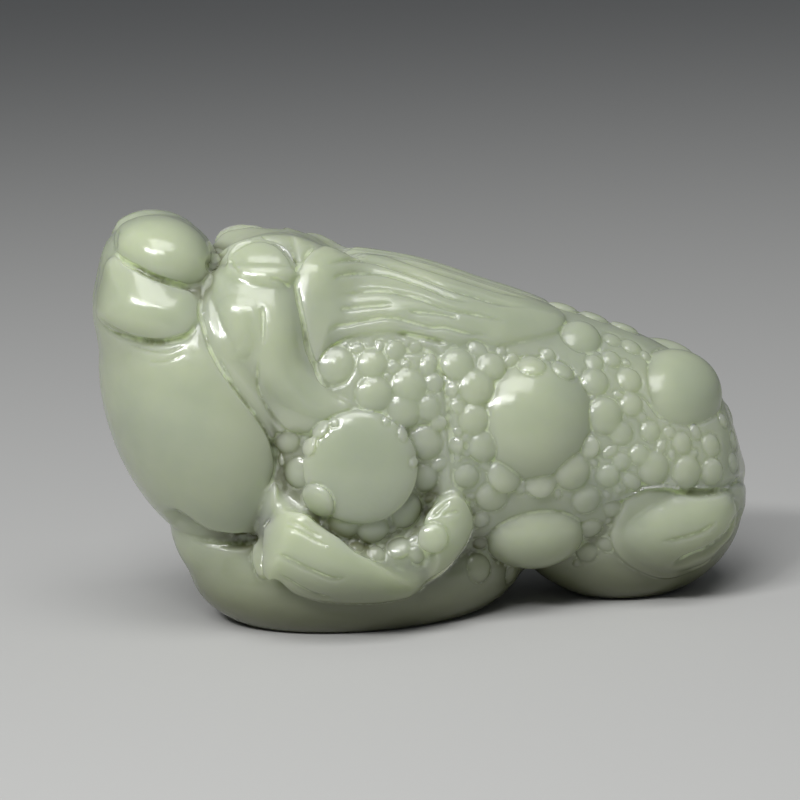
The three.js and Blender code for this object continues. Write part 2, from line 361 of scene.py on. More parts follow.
# Big masses, in mm, in the order they are joined; melt is the fillet where each one meets the rest
masses = {
    "head": {"at": (-11.0, 0, 23.4), "size": (6.6, 8.6, 7.4), "melt": 1.0},
    "shoulder": {"at": (-6.0, 5.6, 12.6), "size": (7.0, 6.0, 9.6), "melt": 0.35, "both": True},
    "cheekSide": {"at": (-12.2, 4.9, 21.0), "size": (5.4, 4.4, 8.4), "lean": -14, "melt": 0.8, "both": True},
    "bellyCore": {"at": (-5.8, 0, 8.0), "size": (14.6, 7.6, 9.2), "boxy": 3.0, "melt": 0.3},
    "bellyWide": {"at": (-5.4, 0, 3.6), "size": (13.4, 10.2, 5.6), "boxy": 2.2, "melt": 1.0},
    "tailEnd": {"at": (16.4, 0, 7.2), "size": (9.9, 7.7, 8.0), "boxy": 2.6, "melt": 0.4},
    "jaw": {"at": (-16.6, 0, 17.6), "size": (8.3, 10.2, 12.6), "lean": -16, "melt": 0.2},
    "lip": {"at": (-20.8, 0, 25.2), "size": (4.7, 7.2, 4.8), "lean": 8, "melt": 0.8},
    "snout": {"at": (-20.1, 0, 28.4), "size": (4.7, 6.4, 4.3), "lean": 8, "melt": 0.8},
    "brow": {"at": (-10.8, 3.0, 27.4), "size": (5.6, 3.9, 3.4), "lean": 8, "melt": 0.9, "both": True},
}

add(trunkShape(trunk), 0.1)
for name, form in masses.items():
    form = dict(form)
    melt, both = form.pop("melt"), form.pop("both", False)
    add(nearSide(egg(**form)), melt, both)
print("masses joined")

# Limbs are swept; their paths are in mm on the near flank
forearm = {
    "path": ((0.8, -8.4, 11.6), (-0.4, -9.2, 8.0), (-4.0, -9.8, 5.9), (-9.0, -9.8, 6.3), (-12.9, -8.8, 8.6)),
    "width": (1.6, 1.9, 1.9, 2.5, 3.3),
    "depth": (1.3, 1.7, 1.8, 1.9, 1.6),
    "tilt": -8,
    "blunt": 4,
}
hindFoot = {"at": (18.9, 4.8, 6.4), "size": (5.3, 4.2, 3.9), "lean": 0}

add(sweep(forearm), 0.25, both=True)
add(nearSide(egg(**hindFoot)), 0.2, both=True)

# Low domes read in the picture
domes = {
    "eye": {"at": (262, 262), "size": (32, 22), "proud": 0.8, "spin": -6, "melt": 0.25},
}
for name, form in domes.items():
    form = dict(form)
    melt = form.pop("melt")
    add(mound(**form), melt, both=True)
print("limbs and domes joined")


# Drawing: heights and cuts are drawn in the picture, in mm, then pressed into the skin
paper = np.zeros((800, 800), np.float32)
cuts = np.zeros((800, 800), np.float32)


def smoothPath(places, closed=False, gap=2.5):
    places = np.asarray(places, float)
    if closed:
        places = np.concatenate([places, places[:1]])
    length = np.sum(np.linalg.norm(np.diff(places, axis=0), axis=1))
    t = np.linspace(0, 1, max(5, int(length / gap)))
    if not closed:
        return curveThrough(places, t)
    # run once round and a little over, then keep the middle turn
    wrapped = np.concatenate([places[-3:-1], places, places[1:3]])
    steps = len(wrapped) - 1
    return curveThrough(wrapped, (2 + t * (steps - 4)) / steps)


def paperBox(track, margin):
    low = np.clip(np.floor(track.min(0) - margin).astype(int), 0, 799)
    high = np.clip(np.ceil(track.max(0) + margin).astype(int) + 1, 1, 800)
    box = (slice(low[1], high[1]), slice(low[0], high[0]))
    x, y = np.meshgrid(np.arange(low[0], high[0]), np.arange(low[1], high[1]))
    return box, x.astype(np.float32), y.astype(np.float32)


def nearTrack(track, x, y):
    # distance from each place to the track, and how far along the track that is
    best = np.full(x.shape, 1e9, np.float32)
    along = np.zeros(x.shape, np.float32)
    for k, (a, b) in enumerate(zip(track[:-1], track[1:])):
        run = b - a
        t = np.clip(((x - a[0]) * run[0] + (y - a[1]) * run[1]) / max(run @ run, 1e-9), 0, 1)
        away = np.hypot(x - a[0] - t * run[0], y - a[1] - t * run[1])
        closer = away < best
        best = np.where(closer, away, best)
        along = np.where(closer, (k + t) / (len(track) - 1), along)
    return best, along


def insideOf(track, x, y):
    inside = np.zeros(x.shape, bool)
    for a, b in zip(track, np.roll(track, -1, 0)):
        crosses = (a[1] > y) != (b[1] > y)
        if a[1] != b[1]:
            inside ^= crosses & (x < a[0] + (y - a[1]) * (b[0] - a[0]) / (b[1] - a[1]))
    return inside


def drawCut(places, width=3.0, depth=0.3, taper=0.2, sharp=1.0):
    track = smoothPath(places)
    box, x, y = paperBox(track, width + 1)
    away, along = nearTrack(track, x, y)
    strength = np.clip(np.minimum(along, 1 - along) / max(taper, 1e-3), 0, 1) ** 0.7
    mark = depth * strength * np.clip(1 - away / (width * (0.4 + 0.6 * strength)), 0, 1) ** sharp
    cuts[box] = np.maximum(cuts[box], mark)


def drawBead(places, width=4, height=0.2, taper=0.3):
    track = smoothPath(places)
    box, x, y = paperBox(track, width + 1)
    away, along = nearTrack(track, x, y)
    strength = np.clip(np.minimum(along, 1 - along) / taper, 0, 1) ** 0.7
    paper[box] += height * strength * np.clip(1 - (away / width) ** 2, 0, 1)


def drawShape(places, height, edge=4, crown=0.0, reach=20):
    # a step of this height along the outline, and a crown that rises over the reach
    track = smoothPath(places, closed=True)
    box, x, y = paperBox(track, edge + 1)
    away, _ = nearTrack(track, x, y)
    inward = np.where(insideOf(track, x, y), away, -away)
    swell = 1 - (1 - np.clip(inward / reach, 0, 1)) ** 2
    paper[box] += height * ease(inward, -edge / 2, edge / 2) + crown * swell


def press():
    # moves the skin out or in by what was drawn, on the side the camera sees and its mirror
    drawn = paper - cuts
    half = body[:, :middleRow + 1]
    i, j, k = np.nonzero(np.abs(half) < band * 0.97)
    value = half[i, j, k]
    lean = []
    for axis, index in enumerate((i, j, k)):
        near, far = [i, j, k], [i, j, k]
        near[axis] = np.maximum(index - 1, 0)
        far[axis] = np.minimum(index + 1, gridSize[axis] - 1)
        lean.append(body[tuple(far)] - body[tuple(near)])
    out = unit(np.stack(lean, 1))
    points = (np.stack([i, j, k], 1) + gridLow) * voxel - out * value[:, None]
    x, y = shownAt(points)
    x, y = np.clip(x, 0, 798.9), np.clip(y, 0, 798.9)
    c, r = x.astype(int), y.astype(int)
    u, v = x - c, y - r
    upper = drawn[r, c] * (1 - u) + drawn[r, c + 1] * u
    lower = drawn[r + 1, c] * (1 - u) + drawn[r + 1, c + 1] * u
    height = upper * (1 - v) + lower * v
    height *= ease(out @ back, 0.05, 0.4) * ease(-points[:, 1], 0.0, 1.2)
    for ahead in (0.9, 1.8, 3.2, 5.0, 7.5):
        place = np.round((points + back * ahead) / voxel).astype(int) - gridLow
        place = np.clip(place, 0, gridSize - 1)
        height *= body[place[:, 0], place[:, 1], place[:, 2]] > -0.2
    half[i, j, k] = value - height
    body[:, middleRow:] = body[:, :middleRow + 1][:, ::-1]
    paper[:] = 0
    cuts[:] = 0


def drawShelf(places, height, reach, edge=3):
    # a step along a line whose high side lies to the left of the way it runs, fading over the reach
    track = smoothPath(places)
    box, x, y = paperBox(track, reach)
    away, along = nearTrack(track, x, y)
    k = np.minimum((along * (len(track) - 1)).astype(int), len(track) - 2)
    run = (track[1:] - track[:-1])[k]
    side = run[..., 0] * (y - track[k, 1]) - run[..., 1] * (x - track[k, 0])
    inward = np.where(side < 0, away, -away)
    strength = np.clip(np.minimum(along, 1 - along) / 0.15, 0, 1)
    paper[box] += height * strength * ease(inward, -edge / 2, edge / 2) * (1 - ease(inward, edge, reach))


# Mane: a smooth bulge in front that runs back to a tip
mane = {
    "outline": (
        (300, 262), (318, 249), (345, 241), (400, 246), (440, 257), (480, 272), (520, 288), (550, 305),
        (564, 318), (561, 329), (545, 336), (520, 341), (500, 346), (477, 342), (450, 342), (420, 336),
        (396, 332), (372, 333), (350, 338), (330, 349), (318, 366), (311, 352), (305, 328), (298, 300), (297, 280),
    ),
    "height": 0.25, "edge": 4, "crown": 0.7, "reach": 34,
}
drawShape(mane["outline"], mane["height"], mane["edge"], mane["crown"], mane["reach"])

# Snout: two smooth lobes a side, the nostril over the lip
nostril = {
    "outline": (
        (117, 232), (124, 222), (145, 215), (170, 217), (190, 226), (204, 240), (211, 257), (210, 271), (202, 281),
        (188, 284), (171, 281), (152, 274), (135, 265), (119, 254), (115, 243),
    ),
    "height": 0.2, "edge": 5, "crown": 0.7, "reach": 30,
}
lip = {
    "outline": (
        (108, 262), (118, 257), (135, 268), (152, 277), (172, 284), (186, 288), (195, 298), (198, 312), (195, 325),
        (187, 334), (172, 340), (150, 341), (127, 337), (110, 328), (99, 317), (99, 300), (103, 280),
    ),
    "height": 0.25, "edge": 5, "crown": 0.8, "reach": 34,
}
for form in (nostril, lip):
    drawShape(form["outline"], form["height"], form["edge"], form["crown"], form["reach"])

# Lock: a smooth S that flows from the eye down to the shoulder
lock = {
    "plate": (
        (214, 268), (208, 288), (206, 310), (211, 335), (222, 357), (236, 378), (250, 397), (264, 415), (278, 431),
        (293, 436), (312, 431), (332, 420), (350, 408), (344, 400), (330, 393), (319, 378), (313, 362), (307, 346),
        (303, 325), (297, 302), (295, 286), (290, 268),
    ),
    "height": 0.2, "edge": 5, "crown": 0.35, "reach": 30,
    "ridge": ((266, 290), (271, 312), (274, 332), (275, 350), (280, 368), (293, 384), (314, 395), (338, 402)),
    "ridgeWidth": 22, "ridgeHeight": 0.5,
}
drawShape(lock["plate"], lock["height"], lock["edge"], lock["crown"], lock["reach"])
drawBead(lock["ridge"], lock["ridgeWidth"], lock["ridgeHeight"])

cheek = {
    "outline": ((219, 318), (226, 303), (240, 297), (254, 304), (259, 322), (255, 345), (245, 359), (230, 360), (220, 345)),
    "height": 0.03, "edge": 3, "crown": 0.3, "reach": 18,
}
drawShape(cheek["outline"], cheek["height"], cheek["edge"], cheek["crown"], cheek["reach"])

# Brow: a rim round the eye with a three-cornered hollow behind it
brow = {
    "rim": ((222, 268), (229, 250), (243, 238), (262, 231), (285, 230), (305, 236)),
    "rimWidth": 9, "rimHeight": 0.35,
    "hollow": ((263, 237), (278, 233), (292, 236), (298, 262), (291, 257), (282, 246), (272, 240)),
    "hollowDepth": 0.5,
}
drawBead(brow["rim"], brow["rimWidth"], brow["rimHeight"])
drawShape(brow["hollow"], -brow["hollowDepth"], 3)

# Front foot: a fan with a sharp upper edge, and the heel that runs back from it
frontFoot = {
    "outline": (
        (275, 484), (288, 499), (304, 513), (322, 530), (334, 540), (352, 553), (371, 561), (391, 569), (408, 573),
        (424, 570), (431, 558), (427, 540), (426, 522), (436, 505), (452, 491), (463, 497), (470, 512), (470, 530),
        (461, 551), (445, 568), (420, 585), (391, 597), (364, 600), (333, 598), (314, 595), (295, 586), (279, 575),
        (263, 578), (256, 568), (254, 556), (256, 538), (259, 523), (263, 505), (268, 491),
    ),
    "height": 0.75, "edge": 5, "crown": 0.15, "reach": 20,
    "ridge": ((420, 573), (408, 573), (391, 569), (371, 561), (352, 553), (334, 540), (304, 513), (288, 499), (273, 482)),
    "ridgeHeight": 0.5, "ridgeReach": 50,
    "basin": (
        (283, 486), (300, 503), (322, 524), (345, 544), (372, 558), (400, 568), (424, 567), (428, 552),
        (420, 540), (424, 520), (436, 503), (446, 470), (440, 430), (415, 425), (402, 440), (412, 470),
        (400, 500), (370, 514), (335, 508), (318, 480), (322, 450), (300, 430), (275, 440), (276, 465),
    ),
    "basinDepth": 0.3,
}
drawShape(frontFoot["outline"], frontFoot["height"], frontFoot["edge"], frontFoot["crown"], frontFoot["reach"])
drawShape(frontFoot["basin"], -frontFoot["basinDepth"], 8)
drawShelf(frontFoot["ridge"], frontFoot["ridgeHeight"], frontFoot["ridgeReach"])

# Hind foot: a smooth pad tucked under the rump
hindPad = {
    "outline": (
        (642, 484), (626, 495), (620, 509), (614, 522), (610, 534), (613, 548), (627, 563), (649, 574), (667, 577),
        (686, 572), (704, 563), (716, 549), (731, 532), (742, 508), (745, 484), (700, 486), (668, 478),
    ),
    "height": 0.35, "edge": 5, "crown": 0.35, "reach": 26,
}
drawShape(hindPad["outline"], hindPad["height"], hindPad["edge"], hindPad["crown"], hindPad["reach"])

# Rump: its lower edge hangs over the hind foot
rump = {
    "edgeLine": ((604, 506), (622, 497), (640, 487), (658, 484), (673, 486), (700, 492), (723, 486), (746, 470)),
    "height": 0.6, "reach": 70,
}
drawShelf(rump["edgeLine"], rump["height"], rump["reach"])
press()
body = renewed(body)
print("mane, lock, foot and rump raised")

# Cut lines, in picture places: width in picture steps, depth in mm
lines = {
    "mouth": ((206, 276), (202, 295), (200, 312), (204, 328), (208, 343), (215, 358), (224, 373), (236, 389),
              (247, 403), (258, 418), (268, 433), (275, 449), (277, 465), (272, 482), (265, 492)),
    "mouthInner": ((216, 353), (224, 366), (232, 380), (243, 396), (256, 412), (268, 427)),
    "nose": ((115, 252), (124, 261), (135, 267), (152, 276), (172, 283), (186, 287), (194, 293)),
    "underLip": ((98, 317), (110, 329), (127, 338), (142, 342), (160, 343), (178, 340), (190, 334), (198, 322)),
    "underLipFine": ((125, 344), (142, 349), (158, 352), (172, 350), (188, 342)),
    "noseFront": ((118, 228), (115, 240), (116, 250)),
    "jawTop": ((148, 361), (160, 362), (172, 359), (188, 352)),
    "recess": ((226, 243), (216, 256), (209, 272)),
    "lidUpper": ((229, 259), (235, 250), (245, 243), (256, 239), (268, 240), (280, 246), (289, 257), (294, 270)),
    "lidLower": ((229, 258), (233, 265), (240, 273)),
    "lidBack": ((268, 277), (283, 282), (292, 288)),
    "browBack": ((314, 246), (306, 254), (300, 263), (295, 275)),
    "maneFront": ((295, 284), (299, 302), (304, 325), (308, 348), (314, 363), (320, 376)),
    "lockFront": ((262, 306), (263, 322), (262, 346)),
    "lockBack": ((258, 356), (257, 372), (258, 388), (264, 402), (275, 420), (290, 434), (306, 436)),
    "curl": ((360, 336), (349, 338), (338, 344), (327, 353), (319, 362), (317, 372), (322, 382), (332, 387),
             (343, 385), (351, 379)),
}
cutSizes = {
    "mouth": (3.2, 0.4), "mouthInner": (2.4, 0.22), "underLip": (5, 0.4), "underLipFine": (2.2, 0.18),
    "recess": (7, 0.5), "lidUpper": (3, 0.3), "browBack": (3, 0.25), "maneFront": (3, 0.3),
    "nose": (3.2, 0.35), "noseFront": (3, 0.2), "jawTop": (2, 0.12),
}
for name, places in lines.items():
    width, depth = cutSizes.get(name, (2.5, 0.22))
    drawCut(places, width, depth)

# The mane's hair: long scooped strokes
hair = {
    "strokes": (
        ((333, 251), (362, 247), (381, 251), (404, 259), (427, 267), (458, 277), (496, 289), (532, 299)),
        ((328, 264), (343, 260), (362, 259), (377, 262), (400, 269), (424, 278), (450, 288), (477, 296), (500, 303), (528, 307)),
        ((332, 278), (347, 274), (370, 272), (387, 274), (405, 279), (428, 287), (449, 296), (468, 302)),
        ((343, 295), (362, 291), (381, 290), (400, 293), (420, 298), (448, 308), (477, 314), (506, 321)),
        ((339, 310), (352, 307), (371, 305), (393, 304)),
        ((408, 311), (431, 312), (450, 315), (459, 318)),
        ((327, 334), (336, 327), (358, 322), (372, 319), (389, 317), (408, 321), (431, 327), (445, 327), (468, 333), (489, 335)),
        ((396, 333), (420, 337), (448, 343)),
    ),
    "width": 4.0, "depth": 0.26,
}
for stroke in hair["strokes"]:
    drawCut(stroke, hair["width"], hair["depth"], taper=0.15, sharp=1.2)

# Foot, rump and hind foot
limbLines = {
    "toeUpper": ((284, 525), (302, 533), (328, 547)),
    "toeUpperFine": ((287, 519), (304, 527), (322, 538)),
    "toeLower": ((274, 552), (291, 560), (306, 568), (333, 579), (346, 577)),
    "footEdge": ((279, 574), (295, 585), (314, 595), (333, 598)),
    "heelMark": ((432, 517), (441, 508), (450, 499)),
    "heelMarkLow": ((442, 515), (452, 512), (461, 512)),
    "wartFourLine": ((637, 389), (648, 401), (658, 414), (666, 420)),
    "hindToe": ((661, 542), (683, 538), (704, 531), (717, 521)),
    "backLine": ((586, 335), (597, 345), (602, 354)),
    "backLineLow": ((565, 340), (575, 342), (586, 347)),
}
for places in limbLines.values():
    drawCut(places, 2.8, 0.22)
drawCut(((166, 509), (183, 523), (203, 536), (222, 541), (240, 542), (258, 537)), 9, 0.8, 0.15)
drawCut(((612, 504), (640, 488), (658, 485), (673, 487), (700, 493), (723, 488), (742, 474)), 7, 0.35, 0.15)
drawCut(((672, 566), (692, 557), (713, 548), (731, 532), (743, 508)), 5, 0.5, 0.15)
drawCut(((396, 352), (415, 349), (432, 351), (440, 362), (445, 380), (448, 400), (450, 430), (451, 460), (455, 488)), 7, 0.35, 0.15)
press()
print("lines cut")


# Warts and pearls: one Geometry Nodes tree sets a bead on the skin at each guide point
warts = {
    "one": {"at": (537, 419), "size": (48, 46), "proud": 1.1, "face": 0.2, "sink": 0.7},
    "two": {"at": (533, 535), "size": (47, 34), "proud": 1.6, "face": 1.2, "sink": 0.5},
    "three": {"at": (361, 468), "size": (44, 44), "proud": 0.45, "face": 0.2, "sink": 0.6},
    "four": {"at": (681, 388), "size": (38, 34), "proud": 0.9, "face": 0.4, "sink": 0.7},
    "maneTip": {"at": (580, 339), "size": (19, 17), "proud": 0.4, "face": 0.3, "sink": 0.6},
}
wartJoin = {"melt": 0.08, "trenchWidth": 0.26, "trenchDepth": 0.16}
pearls = {
    "places": (
        (286, 439, 13), (297, 473, 15), (316, 502, 16), (343, 525, 14), (373, 530, 14), (398, 546, 11),
        (408, 512, 16), (433, 538, 14), (424, 479, 13), (426, 443, 16), (335, 364, 17), (374, 394, 17),
        (409, 386, 17), (404, 411, 15), (428, 408, 11), (372, 363, 14), (458, 363, 15), (492, 366, 13),
        (532, 364, 13), (477, 386, 16), (474, 420, 14), (485, 447, 14), (507, 474, 17), (492, 498, 15),
        (467, 477, 12), (541, 482, 15), (573, 472, 18), (588, 447, 11), (606, 416, 18), (608, 477, 11),
        (587, 501, 15), (590, 530, 12), (586, 552, 10), (480, 521, 9), (480, 544, 8), (480, 567, 14),
        (513, 572, 11), (564, 369, 12), (596, 381, 14), (632, 346, 10), (630, 379, 12), (595, 362, 9),
        (612, 358, 9), (655, 469, 16), (688, 473, 15), (713, 472, 13), (734, 462, 10), (712, 445, 12),
        (683, 443, 10), (734, 440, 9), (651, 431, 10), (622, 433, 12), (640, 455, 9), (622, 462, 8),
        (632, 404, 11), (724, 420, 7), (548, 356, 8), (513, 362, 8), (450, 390, 7), (455, 446, 8),
    ),
    "height": 0.42, "sink": 0.45, "spread": 0.06, "seed": 11, "grow": 1.1,
    "trenchWidth": 0.24, "trenchDepth": 0.14, "melt": 0.04,
    # small ones are packed into what is left of these stretches of the flank
    "packed": (
        ((456, 350), (490, 350), (520, 350), (560, 350), (600, 340), (640, 345), (700, 420), (745, 440), (742, 470),
         (700, 488), (660, 480), (625, 492), (612, 520), (600, 560), (570, 568), (540, 575), (500, 575), (475, 550),
         (476, 510), (458, 480), (455, 420)),
        ((352, 350), (390, 344), (430, 352), (441, 380), (442, 430), (443, 470), (432, 500), (420, 530), (420, 555),
         (385, 556), (350, 544), (300, 500), (280, 468), (280, 440), (300, 438), (335, 420), (385, 420), (365, 380)),
    ),
    "packedSize": (4, 8), "packedGap": 1.0, "packedHeight": 0.34,
}
spine = {"places": (9.4, 12.0, 14.5, 17.0, 23.8, 25.3), "size": (1.25, 1.0, 0.42)}


def largestPart(points, quads):
    # drops specks and sealed pockets: every point takes the lowest number that it can reach
    reach = np.arange(len(points))
    while True:
        lowest = reach.copy()
        np.minimum.at(lowest, quads.ravel(), np.repeat(reach[quads].min(1), 4))
        lowest = lowest[lowest]
        if np.array_equal(lowest, reach):
            break
        reach = lowest
    main = np.bincount(reach).argmax()
    kept = reach == main
    print("parts dropped", len(np.unique(reach)) - 1, "with points", int((~kept).sum()))
    return points[kept], (np.cumsum(kept) - 1)[quads[kept[quads[:, 0]]]]


def meshFromGrid(name, scale=1.0, shift=(0, 0, 0)):
    field = vdb.FloatGrid(band)
    field.copyFromArray(np.ascontiguousarray(body), ijk=tuple(int(v) for v in gridLow))
    field.transform = vdb.createLinearTransform(voxelSize=voxel)
    points, quads = largestPart(*field.convertToQuads(0.0))
    mesh = bpy.data.meshes.new(name)
    mesh.vertices.add(len(points))
    mesh.vertices.foreach_set("co", ((points - shift) * scale).astype(np.float32).ravel())
    mesh.loops.add(len(quads) * 4)
    mesh.loops.foreach_set("vertex_index", quads.astype(np.int32).ravel())
    mesh.polygons.add(len(quads))
    mesh.polygons.foreach_set("loop_start", np.arange(0, len(quads) * 4, 4, dtype=np.int32))
    mesh.update(calc_edges=True)
    return mesh


def beadTree():
    tree = bpy.data.node_groups.new("beads_on_skin", "GeometryNodeTree")
    tree.interface.new_socket("Guides", in_out="INPUT", socket_type="NodeSocketGeometry")
    for socket, kind in (("Skin", "Object"), ("Sink", "Float"), ("Spread", "Float"), ("Seed", "Int"), ("Stone", "Material")):
        tree.interface.new_socket(socket, in_out="INPUT", socket_type="NodeSocket" + kind)
    tree.interface.new_socket("Beads", in_out="OUTPUT", socket_type="NodeSocketGeometry")
    nodes, link = tree.nodes, tree.links.new

    def node(kind, **settings):
        made = nodes.new(kind)
        for key, value in settings.items():
            setattr(made, key, value)
        return made

    def attribute(name):
        made = node("GeometryNodeInputNamedAttribute", data_type="FLOAT_VECTOR")
        made.inputs["Name"].default_value = name
        return made.outputs[0]

    given = node("NodeGroupInput").outputs
    skin = node("GeometryNodeObjectInfo", transform_space="ORIGINAL")
    link(given["Skin"], skin.inputs["Object"])
    hit = node("GeometryNodeRaycast", mapping="NEAREST")
    link(skin.outputs["Geometry"], hit.inputs["Target Geometry"])
    link(attribute("aim"), hit.inputs["Ray Direction"])
    hit.inputs["Ray Length"].default_value = 400.0
    height = node("ShaderNodeSeparateXYZ")
    link(attribute("size"), height.inputs[0])
    sunk = node("ShaderNodeMath", operation="MULTIPLY")
    link(height.outputs["Z"], sunk.inputs[0])
    link(given["Sink"], sunk.inputs[1])
    lower = node("ShaderNodeVectorMath", operation="SCALE")
    link(hit.outputs["Hit Normal"], lower.inputs[0])
    link(sunk.outputs[0], lower.inputs["Scale"])
    place = node("ShaderNodeVectorMath", operation="SUBTRACT")
    link(hit.outputs["Hit Position"], place.inputs[0])
    link(lower.outputs[0], place.inputs[1])
    points = node("GeometryNodeMeshToPoints")
    link(given["Guides"], points.inputs["Mesh"])
    link(place.outputs[0], points.inputs["Position"])
    link(hit.outputs["Is Hit"], points.inputs["Selection"])
    # the bead's Z stands out of the skin, its X runs along the guide's own direction
    stored = node("GeometryNodeStoreNamedAttribute", data_type="FLOAT_VECTOR", domain="POINT")
    stored.inputs["Name"].default_value = "out"
    link(given["Guides"], stored.inputs["Geometry"])
    link(hit.outputs["Hit Normal"], stored.inputs["Value"])
    link(stored.outputs[0], points.inputs["Mesh"])
    stand = node("FunctionNodeAlignRotationToVector", axis="Z")
    link(attribute("out"), stand.inputs["Vector"])
    swing = node("FunctionNodeAlignRotationToVector", axis="X", pivot_axis="Z")
    link(stand.outputs[0], swing.inputs["Rotation"])
    link(attribute("along"), swing.inputs["Vector"])
    vary = node("FunctionNodeRandomValue", data_type="FLOAT")
    low = node("ShaderNodeMath", operation="SUBTRACT")
    high = node("ShaderNodeMath", operation="ADD")
    for end in (low, high):
        end.inputs[0].default_value = 1.0
        link(given["Spread"], end.inputs[1])
    link(low.outputs[0], vary.inputs[2])
    link(high.outputs[0], vary.inputs[3])
    link(given["Seed"], vary.inputs["Seed"])
    grown = node("ShaderNodeVectorMath", operation="SCALE")
    link(attribute("size"), grown.inputs[0])
    link(vary.outputs[1], grown.inputs["Scale"])
    bead = node("GeometryNodeMeshIcoSphere")
    bead.inputs["Subdivisions"].default_value = 5
    copies = node("GeometryNodeInstanceOnPoints")
    link(points.outputs[0], copies.inputs["Points"])
    link(bead.outputs["Mesh"], copies.inputs["Instance"])
    link(swing.outputs[0], copies.inputs["Rotation"])
    link(grown.outputs[0], copies.inputs["Scale"])
    real = node("GeometryNodeRealizeInstances")
    link(copies.outputs[0], real.inputs[0])
    finish = node("GeometryNodeSetMaterial")
    link(real.outputs[0], finish.inputs["Geometry"])
    link(given["Stone"], finish.inputs["Material"])
    link(finish.outputs[0], node("NodeGroupOutput").inputs[0])
    return tree


jade = bpy.data.materials.new("jade")
beads = beadTree()


def setBeads(name, starts, aims, alongs, sizes, sink, spread, seed):
    # returns the beads as one shape, in mm
    skin = bpy.data.objects.new(name + "_skin", meshFromGrid(name + "_skin"))
    mesh = bpy.data.meshes.new(name)
    mesh.from_pydata([tuple(p) for p in starts], [], [])
    for key, rows in (("aim", aims), ("along", alongs), ("size", sizes)):
        mesh.attributes.new(key, "FLOAT_VECTOR", "POINT").data.foreach_set("vector", np.asarray(rows, np.float32).ravel())
    guides = bpy.data.objects.new(name, mesh)
    scene.collection.objects.link(skin)
    scene.collection.objects.link(guides)
    modifier = guides.modifiers.new("beads", "NODES")
    modifier.node_group = beads
    values = {"Skin": skin, "Sink": sink, "Spread": spread, "Seed": seed, "Stone": jade}
    for item in beads.interface.items_tree:
        if item.name in values:
            modifier[item.identifier] = values[item.name]
    depsgraph = bpy.context.evaluated_depsgraph_get()
    made = bpy.data.meshes.new_from_object(guides.evaluated_get(depsgraph))
    points = np.empty(len(made.vertices) * 3, np.float32)
    made.vertices.foreach_get("co", points)
    made.calc_loop_triangles()
    tris = np.empty(len(made.loop_triangles) * 3, np.int32)
    made.loop_triangles.foreach_get("vertices", tris)
    for used in (guides, skin):
        bpy.data.objects.remove(used)
    return points.reshape(-1, 3).astype(float), np.empty((0, 4), int), tris.reshape(-1, 3)


def beadRows(places, sizes, chance):
    # the round ones lie any way round, so that no two ovals match
    lines = sightLines(places)
    starts = eyePoint + lines * (cameraSetup["distance"] - 32)
    spin = chance.uniform(0, np.pi, len(places))[:, None]
    return starts, lines, right * np.cos(spin) + up * np.sin(spin), sizes


def packPearls(taken, outlines, low, high, gap, seed):
    # fills the free places between circles with smaller ones, largest gaps first
    chance = np.random.default_rng(seed)
    circles = [tuple(c) for c in taken]
    for outline in outlines:
        track = smoothPath(outline, closed=True)
        tries = chance.uniform(track.min(0), track.max(0), (6000, 2))
        tries = tries[insideOf(track, tries[:, 0], tries[:, 1])]
        for size in (high, (low + high) / 2, low):
            for x, y in tries:
                known = np.array(circles)
                room = np.min(np.hypot(known[:, 0] - x, known[:, 1] - y) - known[:, 2]) - gap
                if room >= size:
                    circles.append((x, y, min(room, size * 1.15)))
    return circles[len(taken):]


for form in warts.values():
    shape = mound(**form)
    trench(shape, wartJoin["trenchWidth"], wartJoin["trenchDepth"], both=True)
    add(shape, wartJoin["melt"], both=True)

circles = list(pearls["places"])
for form in warts.values():
    (x, y), (wide, high) = form["at"], form["size"]
    circles += [(x + step * (wide - high), y, high * 1.06) for step in (-1, -0.5, 0, 0.5, 1)]
extra = packPearls(circles, pearls["packed"], *pearls["packedSize"], pearls["packedGap"], pearls["seed"])
rows = np.array(list(pearls["places"]) + extra, float)
print("pearls placed by hand", len(pearls["places"]), "and packed between", len(extra))
heights = np.full(len(rows), pearls["height"])
heights[len(pearls["places"]):] = pearls["packedHeight"]
chance = np.random.default_rng(pearls["seed"])
ovals = np.where(np.arange(len(rows)) < len(pearls["places"]), 1, chance.uniform(0.75, 1, len(rows)))
sizes = rows[:, 2:3] / perMm * pearls["grow"] * np.stack([1 / ovals ** 0.5, ovals, heights], 1)
pearlShape = setBeads("pearl_guides", *beadRows(rows[:, :2], sizes, chance), pearls["sink"], pearls["spread"], pearls["seed"])
trench(pearlShape, pearls["trenchWidth"], pearls["trenchDepth"], both=True)
add(pearlShape, pearls["melt"], both=True)

starts = [(x, 0, 40) for x in spine["places"]]
spineShape = setBeads("spine_guides", starts, [(0, 0, -1)] * len(starts), [(1, 0, 0)] * len(starts),
                      [spine["size"]] * len(starts), 0.3, 0.04, 5)
trench(spineShape, 0.35, 0.2)
add(spineShape, 0.08)
print("warts and pearls set")

# Ground and skin
flattenBelow(0.0, 0.25)
toadMesh = meshFromGrid("toad_stone", mm, toWorld)
toad = bpy.data.objects.new("toad_stone", toadMesh)
scene.collection.objects.link(toad)
thin = toad.modifiers.new("thin", "DECIMATE")
thin.ratio = min(1.0, stone["triangles"] / (2 * len(toadMesh.polygons)))
thinned = bpy.data.meshes.new_from_object(toad.evaluated_get(bpy.context.evaluated_depsgraph_get()))
toad.modifiers.remove(thin)
toad.data = thinned
thinned.name = "toad_stone_skin"
thinned.shade_smooth()
thinned.calc_loop_triangles()
print("skin thinned to", len(thinned.loop_triangles), "triangles")


